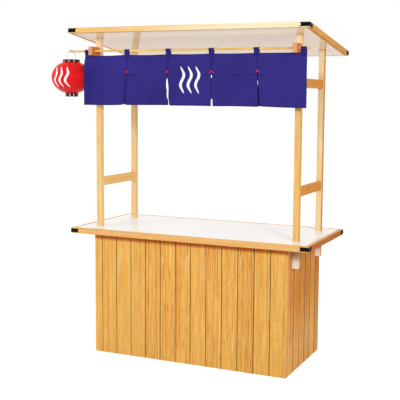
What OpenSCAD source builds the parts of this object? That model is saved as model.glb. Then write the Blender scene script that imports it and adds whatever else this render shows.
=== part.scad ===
// Wooden market stall: a boarded base, a laminate counter, four posts with side rails,
// a sloping roof, a split curtain on a bamboo pole and a hanging paper lantern.
// Millimetres, +Z up. X runs along the counter and Y from the front to the back.
// The origin is on the ground, in the middle of the front panel's bottom face.

/* [Base] */
// Width of the boarded base
base_w = 1353; // [1000:1:1700]
// Depth of the boarded base
base_d = 662; // [500:1:850]
// Thickness of the base's boards
board_t = 12; // [9:0.5:20]
// Width of one board, from groove to groove
board_w = 108; // [70:1:160]
// Width of the groove between two boards
groove_w = 5; // [2:0.5:10]
// Depth of the groove between two boards
groove_d = 4; // [1:0.5:7]
// Narrowest strip of board left at the end of a row
board_min = 20; // [10:1:40]
// Width of the corner stiles along X
stile_w = 30; // [20:1:50]
// Depth of the corner stiles along Y
stile_d = 28; // [20:1:50]
// Height of the rails across the open back
back_rail_h = 60; // [40:1:100]

/* [Counter] */
// Height of the counter top above the ground
counter_h = 838; // [700:1:1000]
// Thickness of the counter
counter_t = 37; // [25:1:50]
// How far the counter stands out in front of the base
counter_front_reach = 57; // [20:1:120]
// How far the counter stands out behind the base
counter_back_reach = 37; // [10:1:120]
// How far the counter stands out beyond each side of the base
counter_side_reach = 148.5; // [110:0.5:220]
// Width of the wooden edging round the counter and the roof
edging_w = 24; // [15:1:40]

/* [Posts] */
// Side of the square posts
post_s = 37; // [28:1:50]
// Distance from the counter's front edge to the front posts
post_front_inset = 140; // [130:1:200]
// Distance from the back posts to the counter's back edge
post_back_inset = 114; // [60:1:180]
// Length of the post ends that hang below the counter
post_tail = 133; // [60:1:250]
// Clearance round a post in the counter's holes
post_clear = 0.4; // [0.2:0.1:0.8]
// Height of the side rails
rail_h = 57; // [40:1:80]
// Thickness of the side rails
rail_t = 30; // [20:1:36]
// Height of the lower side rails' middle above the counter
rail_lower_rise = 300; // [150:1:450]
// Depth of the upper side rails' middle below the roof
rail_upper_drop = 217; // [120:1:350]

/* [Roof] */
// Height of the roof's front top edge above the ground
roof_h = 2144; // [1950:1:2400]
// Thickness of the roof
roof_t = 33; // [25:1:50]
// Fall of the roof towards the back, in degrees
roof_slope = 8.2; // [3:0.1:14]
// How far the roof reaches in front of the front posts
roof_front_reach = 167; // [80:1:260]
// How far the roof reaches behind the back posts
roof_back_reach = 188; // [80:1:260]
// How far the roof reaches beyond the posts at each side
roof_side_reach = 99.5; // [60:0.5:160]

/* [Brackets] */
// Length of each leg of the corner brackets
bracket_leg = 59; // [35:1:90]
// Height of the corner brackets
bracket_h = 25; // [15:1:32]
// Thickness of the corner brackets
bracket_t = 1.6; // [1:0.1:3]
// Depth of the notch in the legs' swallow-tail ends
bracket_notch = 8; // [3:0.5:15]

/* [Pole] */
// Diameter of the bamboo pole
pole_d = 15; // [10:0.5:25]
// Distance of the pole's middle below the roof's front top edge
pole_drop = 144; // [110:1:220]
// Length of pole beyond the left front post, where the lantern hangs
pole_left_reach = 165; // [150:1:200]
// Length of pole beyond the right front post
pole_right_reach = 74; // [50:1:150]
// Distance between the bamboo's nodes
pole_node_pitch = 236; // [150:1:350]
// Height of the bamboo's nodes
pole_node_h = 0.6; // [0.3:0.1:1]
// Half length of each node's swelling along the pole
pole_node_l = 5; // [3:0.5:10]
// Clearance round the nodes on the floor of the holders' holes and under loops
pole_clear = 0.2; // [0.1:0.05:0.3]
// Diameter of the holders' holes, on whose floor the pole lies
holder_bore = 21; // [18:0.5:26]
// Width of the blocks that hold the pole
holder_w = 28; // [18:1:36]
// Height of the blocks that hold the pole
holder_h = 56; // [40:1:75]
// Length of the blocks that hold the pole
holder_l = 91; // [70:1:115]
// Distance of the pole's middle behind the blocks' front faces
pole_setback = 33; // [20:1:40]

/* [Curtain] */
// Height of the curtain without its loops
curtain_h = 318; // [200:1:450]
// Thickness of the curtain cloth
curtain_t = 3; // [2:0.5:4]
// Number of panels in the curtain
curtain_panels = 5; // [3:1:7]
// Width of the loops that go over the pole
loop_w = 38; // [25:1:60]
// Extra thickness of the loops on each face, where they are sewn over the curtain's edge
loop_ply = 0.5; // [0.2:0.1:1]
// Height of the seam that joins the loops to the curtain
loop_seam = 4; // [2:0.5:6]
// Gap between the end loops and the blocks
loop_gap = 10.5; // [6:0.5:20]
// Distance of the curtain's middle to the right of the stall's middle
curtain_shift = 4; // [-5:0.5:5]
// Gap between the curtain's top edge and the blocks above it
curtain_drop = 3; // [1:0.5:10]
// Depth of the sewn band above the slits
slit_top = 98; // [50:1:150]
// Width of the slits between the panels
slit_w = 4; // [2:0.5:10]
// Width of the strip at the left edge that the lantern turns forward
curtain_fold = 75; // [60:1:100]
// Width of the round bend at the start of that strip
curtain_bend = 30; // [15:1:50]
// Gap between the curtain's left edge and the lantern
curtain_clear = 2; // [1:0.5:8]

/* [Lantern] */
// Largest diameter of the lantern
lantern_d = 264; // [220:1:280]
// Height of the whole oval that the lantern's body is cut from
lantern_oval_h = 218; // [200:1:240]
// Thickness of the lantern's paper and hoops
lantern_t = 2; // [1.5:0.1:3]
// Depth that the paper falls in between two hoops
lantern_sag = 1; // [0.4:0.1:2]
// Number of paper bands between the hoops
lantern_bands = 18; // [10:1:24]
// Diameter of the lantern's top ring
top_ring_d = 112; // [90:1:130]
// Height of the lantern's top ring
top_ring_h = 17.5; // [12:0.5:35]
// Diameter of the lantern's bottom ring
bottom_ring_d = 85; // [60:1:110]
// Height of the lantern's bottom ring
bottom_ring_h = 24; // [12:0.5:35]
// Wall of both rings
ring_t = 4; // [3:0.5:6]
// Diameter of the lantern's wire handle
wire_d = 3; // [2:0.1:3]
// Length of the handle's straight legs below its half round
handle_leg = 9.5; // [4:0.5:40]
// Distance of the lantern's handle from the pole's left end
lantern_inset = 13; // [6:1:30]

/* [Hidden] */
$fn = 96;
// How far cutting shapes run past the faces that they cut
cut_over = 1;

// Places along Y
base_front = -board_t / 2;
base_back = base_front + base_d;
side_front = base_front + board_t + stile_d;
counter_front = base_front - counter_front_reach;
counter_back = base_back + counter_back_reach;
post_front_y = counter_front + post_front_inset;
post_back_y = counter_back - post_back_inset - post_s;
roof_front = post_front_y - roof_front_reach;
roof_back = post_back_y + post_s + roof_back_reach;
pole_y = post_front_y - holder_l + pole_setback;

// Places along X
post_in = base_w / 2;
post_out = post_in + post_s;
stile_in = base_w / 2 - board_t - stile_w;
pole_left = -post_out - pole_left_reach;
pole_right = post_out + pole_right_reach;
curtain_w = 2 * (post_out + loop_gap + loop_w);
curtain_left = curtain_shift - curtain_w / 2;
lantern_x = pole_left + lantern_inset;

// Sizes worked out
counter_w = base_w + 2 * counter_side_reach;
counter_d = counter_back - counter_front;
counter_under = counter_h - counter_t;
side_d = base_back - side_front;
roof_w = 2 * (post_out + roof_side_reach);
roof_l = (roof_back - roof_front) / cos(roof_slope);

// Height of the roof's underside over a place along Y
function roof_under(y) =
    roof_h - (y - roof_front) * tan(roof_slope) - roof_t / cos(roof_slope);

// Heights
post_foot = counter_under - post_tail;
rail_lower_z = counter_h + rail_lower_rise;
rail_upper_z = roof_under(post_back_y + post_s) - rail_upper_drop;
pole_z = roof_h - pole_drop;
curtain_top = pole_z - holder_h / 2 - curtain_drop;

// The pole's holes and loops clear the swollen nodes
pole_bore_d = pole_d + 2 * pole_node_h + 2 * pole_clear;

// Lantern: an oval of revolution cut off at the two rings
lantern_r = lantern_d / 2;
function oval_r(z) = lantern_r * sqrt(1 - pow(2 * z / lantern_oval_h, 2));
function oval_z(r) = lantern_oval_h / 2 * sqrt(1 - pow(r / lantern_r, 2));
lantern_top = oval_z(top_ring_d / 2);
lantern_bottom = -oval_z(bottom_ring_d / 2);
handle_r = top_ring_d / 2 - ring_t / 2;
handle_z = pole_z + pole_bore_d / 2 + wire_d / 2 - handle_r;
lantern_z = handle_z - handle_leg - top_ring_h - lantern_top;

// Curtain: a strip at its left edge turns forward until its edge lies on the lantern
first_loop_x = curtain_left + loop_w / 2;
slit_pitch = (curtain_w - loop_w) / curtain_panels;
fold_x = curtain_left + curtain_fold;
hinge_to_edge = curtain_fold - curtain_bend / 2;
hinge_to_lantern = fold_x - curtain_bend / 2 - lantern_x;
edge_to_lantern = lantern_r + curtain_t / 2 + curtain_clear;
fold_angle = acos(min(1, (pow(hinge_to_lantern, 2) + pow(hinge_to_edge, 2) - pow(edge_to_lantern, 2))
    / (2 * hinge_to_lantern * hinge_to_edge)));
// Smallest turn of the strip in degrees, which keeps its bend's radius finite
least_turn = 0.01;
// How far the strip runs into the flat cloth beside it
strip_lap = 2;
fold_cols = 10;
fold_rows = 10;

// Shapes that repeat

// Extrudes a profile drawn in Y and Z along +X
module along_x(length) {
    rotate([90, 0, 90])
        linear_extrude(length)
            children();
}

// Mirrors what is built at the right onto the left
module on_left() {
    mirror([1, 0, 0])
        children();
}

// Sheet of boards along X with V grooves in its outer face, which looks along -Y
module grooved_panel(length, height, grooves) {
    linear_extrude(height)
        polygon(concat(
            [[0, board_t], [0, 0]],
            [for (g = grooves, p = [[g - groove_w / 2, 0], [g, groove_d], [g + groove_w / 2, 0]]) p],
            [[length, 0], [length, board_t]]
        ));
}

// Straight bar along X, mitred at both ends, its outer face along -Y
module mitred_bar(length, height) {
    linear_extrude(height)
        polygon([
            [-length / 2, 0],
            [length / 2, 0],
            [length / 2 - edging_w, edging_w],
            [-length / 2 + edging_w, edging_w]
        ]);
}

// One edging bar of a top of size w by d that is centred on the origin
module edging(w, d, height, turn) {
    length = turn % 180 == 0 ? w : d;
    reach = turn % 180 == 0 ? d : w;
    rotate([0, 0, turn])
        translate([0, -reach / 2, 0])
            mitred_bar(length, height);
}

// Flat leg of a corner bracket with a swallow-tail end
module swallow_leg(length) {
    linear_extrude(bracket_t)
        polygon([
            [0, 0],
            [length, 0],
            [length - bracket_notch, bracket_h / 2],
            [length, bracket_h],
            [0, bracket_h]
        ]);
}

// Bracket round the front right corner of a top, the corner at the origin
module corner_bracket() {
    color("#1d1d1f") {
        translate([bracket_t, 0, -bracket_h / 2])
            mirror([1, 0, 0])
                rotate([90, 0, 0])
                    swallow_leg(bracket_leg + bracket_t);
        translate([0, -bracket_t, -bracket_h / 2])
            rotate([90, 0, 90])
                swallow_leg(bracket_leg + bracket_t);
    }
}

// Puts a corner bracket on a chosen corner of a top of size w by d, centred on the origin
module bracket_on(w, d, left, back) {
    mirror([left ? 1 : 0, 0, 0])
        mirror([0, back ? 1 : 0, 0])
            translate([w / 2, -d / 2, 0])
                corner_bracket();
}

// Base

module front_panel() {
    board_count = floor((base_w - board_min) / board_w);
    color("#e2a951")
        translate([-base_w / 2, base_front, 0])
            grooved_panel(base_w, counter_under, [for (k = [board_count:-1:1]) base_w - k * board_w]);
}

module right_side_panel() {
    groove_count = floor((side_d - board_min) / board_w);
    first = (side_d - (groove_count - 1) * board_w) / 2;
    color("#c98538")
        translate([base_w / 2, side_front, 0])
            rotate([0, 0, 90])
                grooved_panel(side_d, counter_under, [for (k = [0:groove_count - 1]) first + k * board_w]);
}

module left_side_panel() {
    on_left()
        right_side_panel();
}

module front_right_stile() {
    color("#dba27c")
        translate([base_w / 2 - stile_w, base_front + board_t, 0])
            cube([stile_w, stile_d, counter_under]);
}

module front_left_stile() {
    on_left()
        front_right_stile();
}

module rear_right_stile() {
    color("#dba27c")
        translate([stile_in, base_back - stile_d, 0])
            cube([stile_w, stile_d, counter_under]);
}

module rear_left_stile() {
    on_left()
        rear_right_stile();
}

module back_rail(z) {
    color("#dba27c")
        translate([-stile_in, base_back - stile_d, z])
            cube([2 * stile_in, stile_d, back_rail_h]);
}

module rear_top_rail() {
    back_rail(counter_under - back_rail_h);
}

module rear_bottom_rail() {
    back_rail(0);
}

// Counter

// Places a top that is drawn centred on the origin, its underside at zero
module at_counter() {
    translate([0, (counter_front + counter_back) / 2, counter_under])
        children();
}

module counter_panel() {
    hole = post_s + 2 * post_clear;
    color("#f4f3f1")
        difference() {
            translate([-counter_w / 2 + edging_w, counter_front + edging_w, counter_under])
                cube([counter_w - 2 * edging_w, counter_d - 2 * edging_w, counter_t]);
            for (x = [-post_out, post_in], y = [post_front_y, post_back_y])
                translate([x - post_clear, y - post_clear, counter_under - cut_over])
                    cube([hole, hole, counter_t + 2 * cut_over]);
        }
}

module counter_edging(turn) {
    color("#e9b25f")
        at_counter()
            edging(counter_w, counter_d, counter_t, turn);
}

module counter_front_edging() {
    counter_edging(0);
}

module counter_right_edging() {
    counter_edging(90);
}

module counter_back_edging() {
    counter_edging(180);
}

module counter_left_edging() {
    counter_edging(270);
}

module counter_bracket(left, back) {
    at_counter()
        translate([0, 0, counter_t / 2])
            bracket_on(counter_w, counter_d, left, back);
}

module counter_bracket_front_left() {
    counter_bracket(true, false);
}

module counter_bracket_front_right() {
    counter_bracket(false, false);
}

module counter_bracket_back_left() {
    counter_bracket(true, true);
}

module counter_bracket_back_right() {
    counter_bracket(false, true);
}

// Posts and side rails

// Square post on the right, cut off to the slope of the roof
module post(y) {
    color("#efc67c")
        translate([post_in, 0, 0])
            along_x(post_s)
                polygon([
                    [y, post_foot],
                    [y + post_s, post_foot],
                    [y + post_s, roof_under(y + post_s)],
                    [y, roof_under(y)]
                ]);
}

module front_right_post() {
    post(post_front_y);
}

module front_left_post() {
    on_left()
        post(post_front_y);
}

module back_right_post() {
    post(post_back_y);
}

module back_left_post() {
    on_left()
        post(post_back_y);
}

// Rail between the two right posts, its middle at height z
module side_rail(z) {
    color("#efc67c")
        translate([post_in + (post_s - rail_t) / 2, post_front_y + post_s, z - rail_h / 2])
            cube([rail_t, post_back_y - post_front_y - post_s, rail_h]);
}

module lower_right_rail() {
    side_rail(rail_lower_z);
}

module lower_left_rail() {
    on_left()
        side_rail(rail_lower_z);
}

module upper_right_rail() {
    side_rail(rail_upper_z);
}

module upper_left_rail() {
    on_left()
        side_rail(rail_upper_z);
}

// Roof

// Places a top that is drawn centred on the origin, its underside at zero, on the slope
module at_roof() {
    translate([0, roof_front, roof_h])
        rotate([-roof_slope, 0, 0])
            translate([0, roof_l / 2, -roof_t])
                children();
}

module roof_panel() {
    color("#f0ebe4")
        at_roof()
            translate([-roof_w / 2 + edging_w, -roof_l / 2 + edging_w, 0])
                cube([roof_w - 2 * edging_w, roof_l - 2 * edging_w, roof_t]);
}

module roof_edging(turn) {
    color("#e9b25f")
        at_roof()
            edging(roof_w, roof_l, roof_t, turn);
}

module roof_front_edging() {
    roof_edging(0);
}

module roof_right_edging() {
    roof_edging(90);
}

module roof_back_edging() {
    roof_edging(180);
}

module roof_left_edging() {
    roof_edging(270);
}

module roof_bracket(left, back) {
    at_roof()
        translate([0, 0, roof_t / 2])
            bracket_on(roof_w, roof_l, left, back);
}

module roof_bracket_front_left() {
    roof_bracket(true, false);
}

module roof_bracket_front_right() {
    roof_bracket(false, false);
}

module roof_bracket_back_left() {
    roof_bracket(true, true);
}

module roof_bracket_back_right() {
    roof_bracket(false, true);
}

// Pole and its holders

// Block on the front of the right front post, drilled for the pole
module right_pole_holder() {
    color("#d08a43")
        difference() {
            translate([post_out - holder_w, post_front_y - holder_l, pole_z - holder_h / 2])
                cube([holder_w, holder_l, holder_h]);
            translate([post_out - holder_w - cut_over, pole_y, pole_z + (holder_bore - pole_bore_d) / 2])
                rotate([0, 90, 0])
                    cylinder(d = holder_bore, h = holder_w + 2 * cut_over);
        }
}

module left_pole_holder() {
    on_left()
        right_pole_holder();
}

// Bamboo pole, revolved in one piece with the swellings of its nodes
module curtain_pole() {
    length = pole_right - pole_left;
    r = pole_d / 2;
    count = floor((length - 2 * pole_node_l) / pole_node_pitch);
    first = (length - (count - 1) * pole_node_pitch) / 2;
    places = [for (k = [0:count - 1]) first + k * pole_node_pitch];
    color("#e6c469")
        translate([pole_left, pole_y, pole_z])
            rotate([90, 0, 90])
                rotate_extrude()
                    polygon(concat(
                        [[0, 0], [r, 0]],
                        [for (p = places, q = [[r, p - pole_node_l], [r + pole_node_h, p], [r, p + pole_node_l]]) q],
                        [[r, length], [0, length]]
                    ));
}

// Curtain

// Turn of the left strip in degrees, from none at the top edge to the whole fold beside the lantern
function strip_turn(z) =
    let (t = min(1, (curtain_top - z) / (curtain_top - lantern_z)))
    max(least_turn, fold_angle * t * t * (3 - 2 * t));

// Point on the left strip's face: s is its distance along the cloth from the start of the bend
function strip_point(s, z, face) =
    let (
        turn = strip_turn(z),
        bend_r = curtain_bend * 180 / PI / turn,
        heading = turn * max(0, min(1, s / curtain_bend)),
        straight = min(0, s) + max(0, s - curtain_bend),
        offset = face * curtain_t / 2
    )
    [
        fold_x - (bend_r + offset) * sin(heading) - straight * cos(heading),
        pole_y - bend_r * (1 - cos(heading)) - straight * sin(heading) + offset * cos(heading),
        z
    ];

// Strip at the left edge, which bends forward and lies with its edge on the lantern
module left_strip() {
    steps = concat([-strip_lap], [for (i = [0:fold_cols]) curtain_fold * i / fold_cols]);
    nc = fold_cols + 1;
    nr = fold_rows;
    size = (nc + 1) * (nr + 1);
    points = [
        for (face = [-1, 1], j = [0:nr], i = [0:nc])
            strip_point(steps[i], curtain_top - curtain_h * j / nr, face)
    ];
    function at(face, j, i) = face * size + j * (nc + 1) + i;
    function quad(a, b, c, d) = [[a, b, c], [a, c, d]];
    sides = [
        for (j = [0:nr - 1], i = [0:nc - 1])
            each concat(
                quad(at(0, j, i), at(0, j + 1, i), at(0, j + 1, i + 1), at(0, j, i + 1)),
                quad(at(1, j, i), at(1, j, i + 1), at(1, j + 1, i + 1), at(1, j + 1, i))
            )
    ];
    top_and_hem = [
        for (i = [0:nc - 1])
            each concat(
                quad(at(0, 0, i), at(0, 0, i + 1), at(1, 0, i + 1), at(1, 0, i)),
                quad(at(0, nr, i), at(1, nr, i), at(1, nr, i + 1), at(0, nr, i + 1))
            )
    ];
    ends = [
        for (j = [0:nr - 1])
            each concat(
                quad(at(0, j + 1, 0), at(0, j, 0), at(1, j, 0), at(1, j + 1, 0)),
                quad(at(0, j, nc), at(0, j + 1, nc), at(1, j + 1, nc), at(1, j, nc))
            )
    ];
    polyhedron(points, concat(sides, top_and_hem, ends));
}

// Flat rest of the curtain, with a slit between each two panels
module flat_panels() {
    hem_z = curtain_top - curtain_h;
    translate([0, pole_y + curtain_t / 2, 0])
        rotate([90, 0, 0])
            linear_extrude(curtain_t)
                difference() {
                    translate([fold_x, hem_z])
                        square([curtain_w - curtain_fold, curtain_h]);
                    for (k = [1:curtain_panels - 1])
                        translate([first_loop_x + k * slit_pitch - slit_w / 2, hem_z - cut_over])
                            square([slit_w, curtain_h - slit_top + cut_over]);
                }
}

// Loop round the pole with its middle at x, sewn over the curtain's top edge
module pole_loop(x) {
    inner_r = pole_bore_d / 2;
    strap_t = curtain_t + 2 * loop_ply;
    strap_foot = curtain_top - loop_seam - pole_z;
    translate([x - loop_w / 2, pole_y, pole_z])
        along_x(loop_w)
            difference() {
                union() {
                    circle(r = inner_r + strap_t / 2);
                    translate([-strap_t / 2, strap_foot])
                        square([strap_t, -strap_foot]);
                }
                circle(r = inner_r);
            }
}

module curtain() {
    color("#3a3187") {
        left_strip();
        flat_panels();
        for (k = [0:curtain_panels])
            pole_loop(first_loop_x + k * slit_pitch);
    }
}

// Lantern

module at_lantern(z) {
    translate([lantern_x, pole_y, lantern_z + z])
        children();
}

// Paper shell over its hoops: each band falls in a little between two hoops
module lantern_body() {
    steps = 2 * lantern_bands;
    heights = [for (k = [0:steps]) lantern_bottom + (lantern_top - lantern_bottom) * k / steps];
    color("#d8202a")
        at_lantern(0)
            rotate_extrude()
                polygon(concat(
                    [for (k = [0:steps]) [oval_r(heights[k]) - (k % 2) * lantern_sag, heights[k]]],
                    [for (k = [steps:-2:0]) [oval_r(heights[k]) - lantern_t, heights[k]]]
                ));
}

module lantern_ring(d, h) {
    color("#16161a")
        rotate_extrude()
            translate([d / 2 - ring_t, 0])
                square([ring_t, h]);
}

module lantern_top_ring() {
    at_lantern(lantern_top)
        lantern_ring(top_ring_d, top_ring_h);
}

module lantern_bottom_ring() {
    at_lantern(lantern_bottom - bottom_ring_h)
        lantern_ring(bottom_ring_d, bottom_ring_h);
}

// Wire handle: a half round over the pole with a straight leg to the ring at each end
module lantern_handle() {
    color("#d9d9d6")
        translate([lantern_x, pole_y, handle_z])
            rotate([90, 0, 90]) {
                rotate_extrude(angle = 180)
                    translate([handle_r, 0])
                        circle(d = wire_d);
                for (side = [-1, 1])
                    translate([side * handle_r, 0, 0])
                        rotate([90, 0, 0])
                            cylinder(d = wire_d, h = handle_leg);
            }
}

front_panel();
left_side_panel();
right_side_panel();
front_left_stile();
front_right_stile();
rear_left_stile();
rear_right_stile();
rear_top_rail();
rear_bottom_rail();
counter_panel();
counter_front_edging();
counter_back_edging();
counter_left_edging();
counter_right_edging();
counter_bracket_front_left();
counter_bracket_front_right();
counter_bracket_back_left();
counter_bracket_back_right();
front_left_post();
front_right_post();
back_left_post();
back_right_post();
lower_left_rail();
lower_right_rail();
upper_left_rail();
upper_right_rail();
roof_panel();
roof_front_edging();
roof_back_edging();
roof_left_edging();
roof_right_edging();
roof_bracket_front_left();
roof_bracket_front_right();
roof_bracket_back_left();
roof_bracket_back_right();
left_pole_holder();
right_pole_holder();
curtain_pole();
curtain();
lantern_body();
lantern_top_ring();
lantern_bottom_ring();
lantern_handle();
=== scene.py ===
import math

import bpy
import numpy as np
from mathutils import Matrix, Vector


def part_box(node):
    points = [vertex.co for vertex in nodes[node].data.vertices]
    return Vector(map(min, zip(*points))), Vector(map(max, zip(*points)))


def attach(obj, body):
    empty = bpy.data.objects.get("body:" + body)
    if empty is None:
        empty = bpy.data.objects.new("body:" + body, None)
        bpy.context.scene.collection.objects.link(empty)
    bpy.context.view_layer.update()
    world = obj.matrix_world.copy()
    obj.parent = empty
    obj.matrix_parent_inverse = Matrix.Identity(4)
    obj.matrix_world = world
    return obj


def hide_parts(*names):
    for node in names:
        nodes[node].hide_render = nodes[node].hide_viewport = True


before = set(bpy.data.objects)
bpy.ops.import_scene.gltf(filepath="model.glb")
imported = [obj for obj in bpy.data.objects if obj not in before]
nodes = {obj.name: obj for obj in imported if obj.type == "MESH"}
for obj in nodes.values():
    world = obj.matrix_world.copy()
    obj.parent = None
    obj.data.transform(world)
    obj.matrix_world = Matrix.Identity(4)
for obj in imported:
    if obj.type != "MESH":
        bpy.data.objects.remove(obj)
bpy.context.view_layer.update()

# Looks of the market stall: finishes of its solids, then cloth, lantern, pole, fasteners, light and camera.
# Every length is in metres in the part's own frame: X to the right, Y to the back, Z up.

MM = 0.001
WHITE = (1.0, 1.0, 1.0)
CORNERS = ["front_left", "front_right", "back_left", "back_right"]
SIDES = ["left", "right"]


def box_middle(node):
    low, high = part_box(node)
    return (low + high) / 2


# Places taken from the solids

pole_low, pole_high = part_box("curtain_pole")
pole_middle = box_middle("curtain_pole")
cloth_low, cloth_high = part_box("curtain")
lantern_low, lantern_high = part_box("lantern_body")
lantern_middle = box_middle("lantern_body")
front_low, front_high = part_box("front_panel")
side_low, side_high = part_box("right_side_panel")
counter_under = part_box("counter_panel")[0].z
post_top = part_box("front_left_post")[1].z

POLE_RADIUS = 7.5 * MM
CLOTH_DROP = 324 * MM
CREASE_DROP = 130 * MM
LANTERN_RADIUS = 132 * MM
LANTERN_HALF = 109 * MM
FOOT_RADIUS = 42.5 * MM
# Middle of the oval that the lantern's body is cut from
lantern_oval_z = lantern_low.z + LANTERN_HALF * math.sqrt(1 - (FOOT_RADIUS / LANTERN_RADIUS) ** 2)


class Graph:
    """Shader nodes of a material or a world, made by short calls."""

    def __init__(self, tree):
        self.tree = tree

    def node(self, kind, settings=None, inputs=None):
        made = self.tree.nodes.new(kind)
        for key, value in (settings or {}).items():
            setattr(made, key, value)
        for key, value in (inputs or {}).items():
            self.put(value, made.inputs[key])
        return made

    def put(self, value, socket):
        if isinstance(value, bpy.types.NodeSocket):
            self.tree.links.new(value, socket)
        elif socket.type == "RGBA" and len(value) == 3:
            socket.default_value = (*value, 1.0)
        else:
            socket.default_value = value

    def split(self, vector):
        return list(self.node("ShaderNodeSeparateXYZ", None, {0: vector}).outputs)

    def facing(self, axis):
        """How far a face looks along an axis, from -1 to 1."""
        return self.split(self.node("ShaderNodeNewGeometry").outputs["Normal"])[axis]

    def looks_along(self, axis):
        """1 on faces that look along an axis, either way, and 0 on the others."""
        return self.fade(self.distance(self.facing(axis), 0.0), 0.6, 0.85)

    def maths(self, operation, *values):
        return self.node("ShaderNodeMath", {"operation": operation}, dict(enumerate(values))).outputs[0]

    def add(self, a, b):
        return self.maths("ADD", a, b)

    def less(self, a, b):
        return self.maths("SUBTRACT", a, b)

    def times(self, a, b):
        return self.maths("MULTIPLY", a, b)

    def larger(self, a, b):
        return self.maths("MAXIMUM", a, b)

    def distance(self, a, b):
        return self.maths("ABSOLUTE", self.less(a, b))

    def steps(self, value, start, pitch):
        """How many steps of that pitch the value lies beyond start."""
        return self.maths("DIVIDE", self.less(value, start), pitch)

    def span(self, value, low, high):
        """A value from 0 to 1 turned into one from low to high."""
        return self.maths("MULTIPLY_ADD", value, high - low, low)

    def fade(self, value, start, end):
        """0 where the value is at start, 1 where it is at end, with a soft step between."""
        inputs = {"Value": value, "From Min": start, "From Max": end}
        return self.node("ShaderNodeMapRange", {"interpolation_type": "SMOOTHSTEP"}, inputs).outputs[0]

    def mix(self, share, a, b):
        return self.node("ShaderNodeMix", {"data_type": "RGBA"}, {0: share, 6: a, 7: b}).outputs[2]

    def vectors(self, operation, a, b):
        return self.node("ShaderNodeVectorMath", {"operation": operation}, {0: a, 1: b}).outputs[0]

    def scaled(self, vector, factor):
        """A place or colour times a value or another vector."""
        return self.vectors("MULTIPLY", vector, factor)

    def noise(self, place, scale, detail=3.0, roughness=0.55):
        inputs = {"Vector": place, "Scale": scale, "Detail": detail, "Roughness": roughness}
        return self.node("ShaderNodeTexNoise", None, inputs).outputs["Fac"]

    def grain(self, place, along, across, lengthwise, detail=3.0, roughness=0.55):
        """Noise with one scale along axis number `along` and another across it."""
        scale = [across] * 3
        scale[along] = lengthwise
        return self.noise(self.scaled(place, scale), 1.0, detail, roughness)

    def chance(self, value, draw=0.0):
        """A steady random number from 0 to 1 for each whole value, and other ones for another draw."""
        inputs = {"W": self.add(value, draw)}
        return self.node("ShaderNodeTexWhiteNoise", {"noise_dimensions": "1D"}, inputs).outputs["Value"]


class Finish(Graph):
    """One procedural material. `place` is a point's place in the part's frame, `axes` its three parts."""

    def __init__(self, name, roughness=0.5, specular=0.5):
        self.material = bpy.data.materials.new(name)
        self.material.use_nodes = True
        super().__init__(self.material.node_tree)
        self.set("Roughness", roughness)
        self.set("Specular IOR Level", specular)
        self.place = self.node("ShaderNodeTexCoord").outputs["Object"]
        self.axes = self.split(self.place)

    def set(self, name, value):
        self.put(value, self.tree.nodes["Principled BSDF"].inputs[name])

    def done(self, colour, height, depth, strength):
        """Sets the colour and a relief, and returns the material."""
        inputs = {"Height": height, "Distance": depth, "Strength": strength}
        self.set("Base Color", colour)
        self.set("Normal", self.node("ShaderNodeBump", None, inputs).outputs[0])
        return self.material


# Wood

WOOD_ROUGHNESS = 0.5
WOOD_GLOSS = 0.05
# Steps in the texture's place that give each board, times its own draw, and the flecks a grain of their own
BOARD_STEP = (3.7, 5.3, 7.1)
FLECK_STEP = (9.1, 4.7, 2.3)
# Draws for a board's streaks and for a groove's depth
LIVELY_DRAW = 0.71
GROOVE_DRAW = 0.37
GROOVE_BLUR = 0.7 * MM
# Distances from a panel's ends between which the grooves set in
GROOVE_INSET = (5 * MM, 6 * MM)
# Distances under the counter between which the painted shadow of its overhang on the boards sets in, and
# that painted shadow's tint
BOARD_SHADOW_DROPS = (46 * MM, 18 * MM)
BOARD_SHADOW_TINT = (0.74, 0.38, 0.26)
# The same for the painted shadow of the counter on a bare end
TAIL_SHADOW_DROPS = (100 * MM, 32 * MM)
TAIL_SHADOW_TINT = (0.56, 0.33, 0.17)
BARE_STREAKS = (0.55, 0.36, 0.20)
FINISH_BLUR = 1 * MM


def bare_end(made, colour, streaks, height, bare):
    """The colour with bare wood below a height, with the counter's shadow painted on it where it starts."""
    up = made.axes[2]
    # Painted shadow of the counter on the bare end, darkest just under it
    tail_shadow = made.fade(up, *[height - drop for drop in TAIL_SHADOW_DROPS])
    bare = made.mix(tail_shadow, bare, made.scaled(bare, TAIL_SHADOW_TINT))
    bare = made.mix(made.times(streaks, 0.5), bare, BARE_STREAKS)
    return made.mix(made.fade(up, height + FINISH_BLUR, height - FINISH_BLUR), colour, bare)


def grooves(made, steps, boards, half_width):
    """1 in the shade of the grooves between boards, less where a groove's own draw has it so."""
    axis, _, pitch, first, last = boards
    nearest = made.maths("ROUND", steps)
    off = made.times(made.distance(steps, nearest), pitch)
    shade = made.fade(off, half_width + GROOVE_BLUR, half_width - GROOVE_BLUR)
    depth = made.span(made.chance(nearest, GROOVE_DRAW), 0.5, 1.0)
    from_middle = made.distance(made.axes[axis], (first + last) / 2)
    inside = made.fade(from_middle, *[(last - first) / 2 - inset for inset in GROOVE_INSET])
    return made.times(made.times(shade, depth), inside)


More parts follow.
